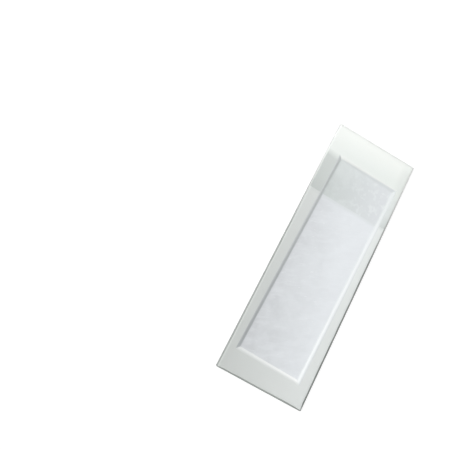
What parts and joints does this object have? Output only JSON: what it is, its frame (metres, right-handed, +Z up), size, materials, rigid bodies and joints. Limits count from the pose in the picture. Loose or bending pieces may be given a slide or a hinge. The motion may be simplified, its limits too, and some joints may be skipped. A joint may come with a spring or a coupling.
{
  "type": "microscope slide",
  "caption": "Flat glass microscope slide with ground edges, a frosted end for writing on and a shallow rectangular specimen well.",
  "frame": {"origin": "centre of the bottom face, the face that the slide rests on", "axes": "+X along the slide's length towards the plain end, with the frosted end at -X; +Y across its width; +Z up, out of the face that holds the well"},
  "size_m": [0.0762, 0.0254, 0.0011],
  "materials": {
    "glass": "clear float glass with a faint grey-green cast, fine-frosted at one end, satin in the well, ground matt along its edges"
  },
  "bodies": {
    "root": {"glass_slide": "glass"}
  },
  "joints": []
}
